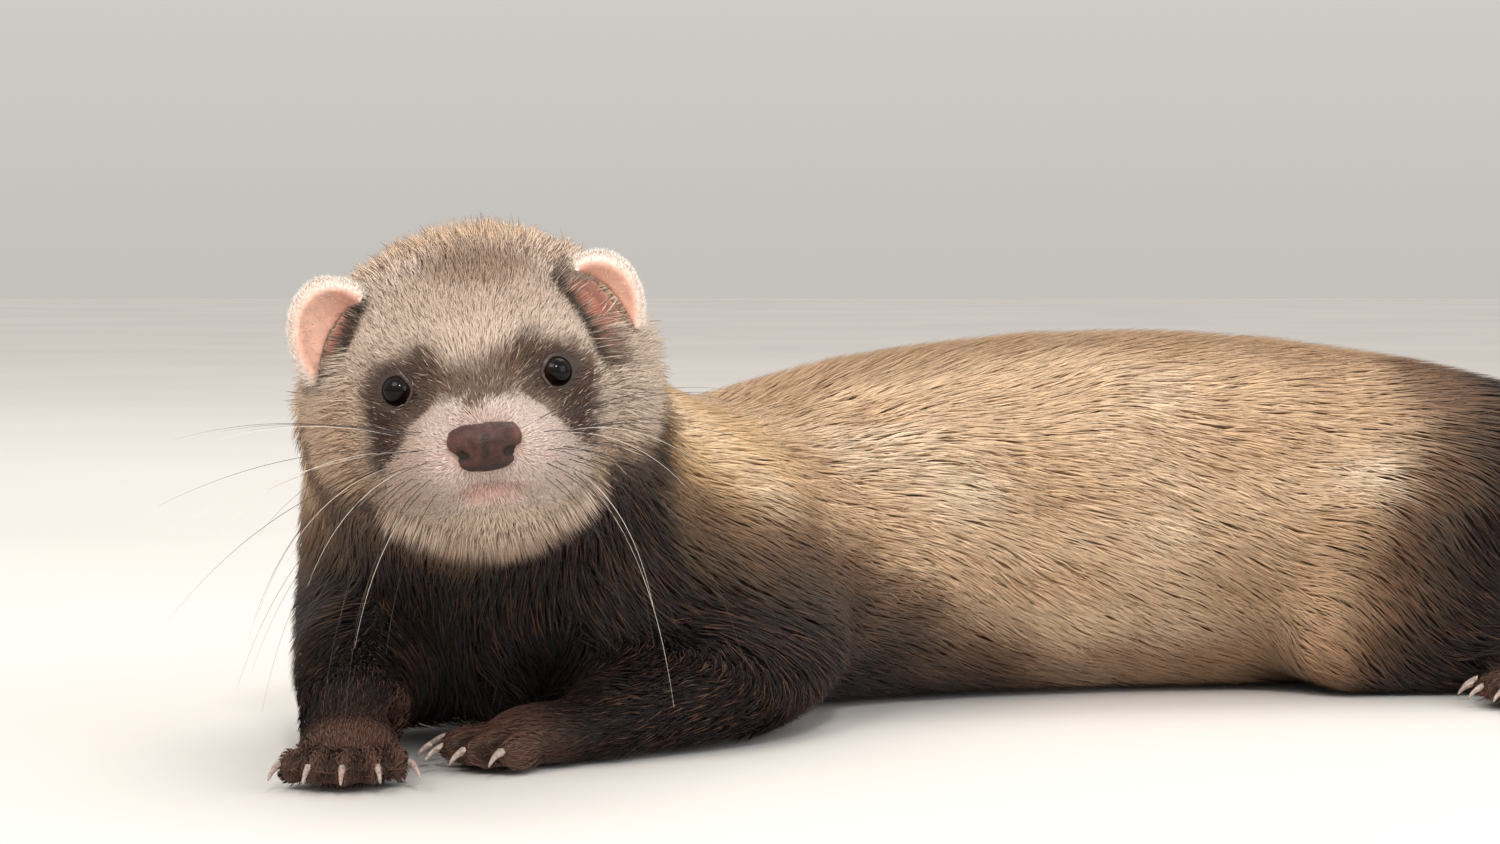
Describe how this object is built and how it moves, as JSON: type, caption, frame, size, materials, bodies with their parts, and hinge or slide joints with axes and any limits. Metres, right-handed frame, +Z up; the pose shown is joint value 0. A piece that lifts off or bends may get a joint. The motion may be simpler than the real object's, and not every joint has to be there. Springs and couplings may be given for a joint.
{
  "type": "ferret",
  "caption": "Life-size ferret lying on its belly with its head raised, forepaws ahead, hind legs folded beside the rump and tail laid out behind.",
  "frame": {"origin": "on the floor, under the middle of the object's box", "axes": "+Z up; +X from the head towards the tail; the face looks along -Y"},
  "size_m": [0.4442, 0.2942, 0.1008],
  "materials": {
    "face_coat": "short pale coat with a brown mask",
    "neck_coat": "soft coat, brown in front and golden behind",
    "pale_coat": "long soft cream guard hair over pale underfur",
    "brown_coat": "brown guard hair over cream underfur",
    "dark_coat": "dark brown, nearly black coat",
    "ear_skin": "thin pink skin with a cream rim of short hair",
    "nose_skin": "bare, finely pebbled, moist",
    "eye": "wet, glossy, opaque dark brown",
    "claw": "pale horn"
  },
  "bodies": {
    "root": {"head": "face_coat", "nose": "nose_skin", "eye_left": "eye", "eye_right": "eye", "ear_left": "ear_skin", "ear_right": "ear_skin", "neck": "neck_coat", "chest": "brown_coat", "belly": "pale_coat", "rump": "brown_coat", "tail_root": "dark_coat", "tail_middle": "dark_coat", "tail_tip": "dark_coat", "foreleg_left": "dark_coat", "foreleg_right": "dark_coat", "forepaw_left": "dark_coat", "forepaw_right": "dark_coat", "hindleg_left": "dark_coat", "hindleg_right": "dark_coat", "hindpaw_left": "dark_coat", "hindpaw_right": "dark_coat", "claw_fore_left_1": "claw", "claw_fore_left_2": "claw", "claw_fore_left_3": "claw", "claw_fore_left_4": "claw", "claw_fore_left_5": "claw", "claw_fore_right_1": "claw", "claw_fore_right_2": "claw", "claw_fore_right_3": "claw", "claw_fore_right_4": "claw", "claw_fore_right_5": "claw", "claw_hind_left_1": "claw", "claw_hind_left_2": "claw", "claw_hind_left_3": "claw", "claw_hind_left_4": "claw", "claw_hind_left_5": "claw", "claw_hind_right_1": "claw", "claw_hind_right_2": "claw", "claw_hind_right_3": "claw", "claw_hind_right_4": "claw", "claw_hind_right_5": "claw"}
  },
  "joints": []
}
